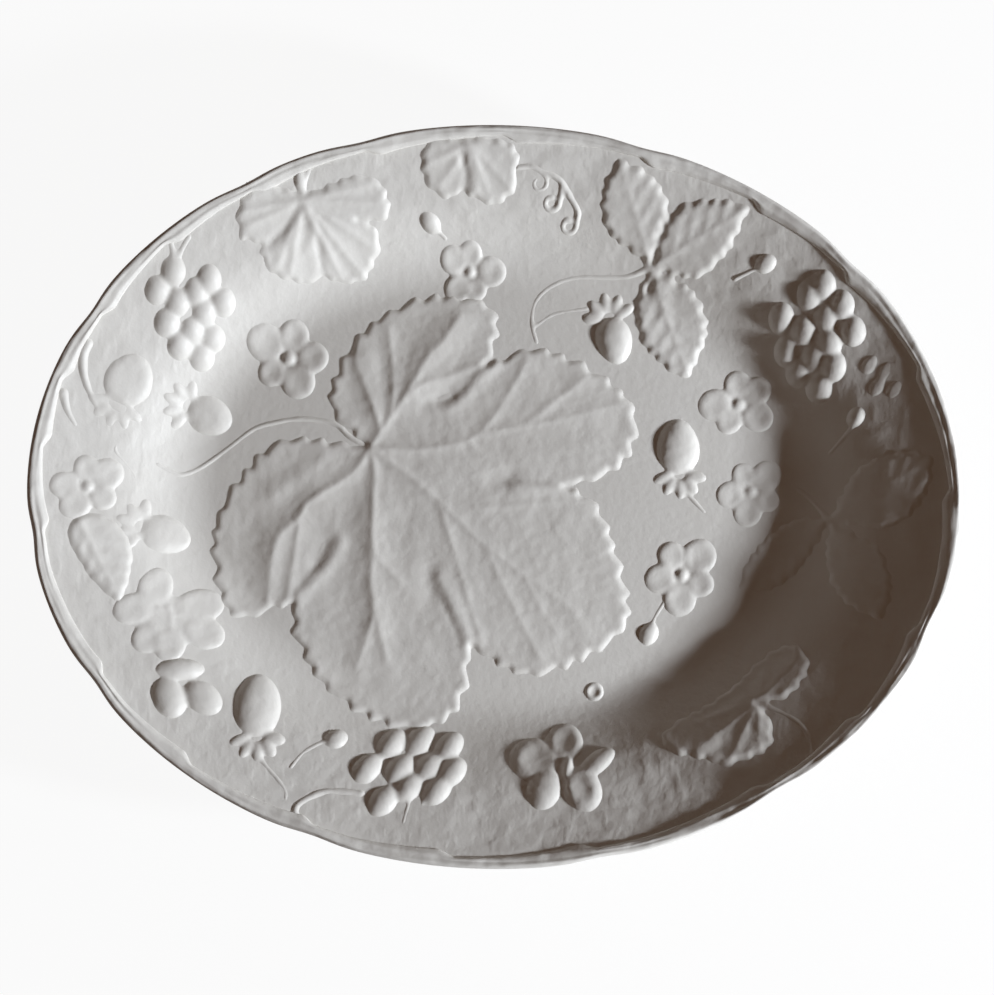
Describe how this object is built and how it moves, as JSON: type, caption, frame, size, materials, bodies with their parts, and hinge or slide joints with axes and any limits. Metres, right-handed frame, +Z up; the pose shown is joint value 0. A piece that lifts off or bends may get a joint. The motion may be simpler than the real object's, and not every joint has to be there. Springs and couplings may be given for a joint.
{
  "type": "majolica dish",
  "caption": "Oval white majolica serving dish with a deep well, a sloping flange, a twig edging, an oval foot ring and sprigs of vine, strawberry and blossom in relief.",
  "frame": {"origin": "middle of the oval, on the table plane under the foot ring", "axes": "+X along the long axis of the oval, +Y towards the side with the blossom and bud at the top, +Z up out of the well"},
  "size_m": [0.34, 0.272, 0.0414],
  "materials": {
    "white_glaze": "glossy white tin glaze",
    "bare_foot": "unglazed biscuit, ground flat"
  },
  "bodies": {
    "root": {"dish_body": "white_glaze", "rim_edging": "white_glaze", "foot_ring": "bare_foot", "vine_leaf_centre": "white_glaze", "vine_stalk": "white_glaze", "vine_leaf_upper_left": "white_glaze", "vine_leaf_top": "white_glaze", "vine_leaf_lower_right": "white_glaze", "strawberry_leaf_top": "white_glaze", "strawberry_leaf_right": "white_glaze", "strawberry_leaf_left": "white_glaze", "strawberry_runner": "white_glaze", "tendril_top": "white_glaze", "flower_upper_left": "white_glaze", "flower_top": "white_glaze", "flower_left": "white_glaze", "flower_lower_left": "white_glaze", "flower_bottom": "white_glaze", "flower_right": "white_glaze", "flower_right_wall": "white_glaze", "flower_right_lower": "white_glaze", "buds_lower_left": "white_glaze", "bud_top": "white_glaze", "bud_upper_right": "white_glaze", "bud_right": "white_glaze", "bud_lower_right": "white_glaze", "bud_lower_left": "white_glaze", "bud_bottom": "white_glaze", "grapes_left": "white_glaze", "grapes_right": "white_glaze", "grapes_bottom": "white_glaze", "strawberry_upper_left": "white_glaze", "strawberry_left_wall": "white_glaze", "strawberry_left": "white_glaze", "strawberry_lower_left": "white_glaze", "strawberry_top": "white_glaze", "strawberry_right": "white_glaze"}
  },
  "joints": []
}
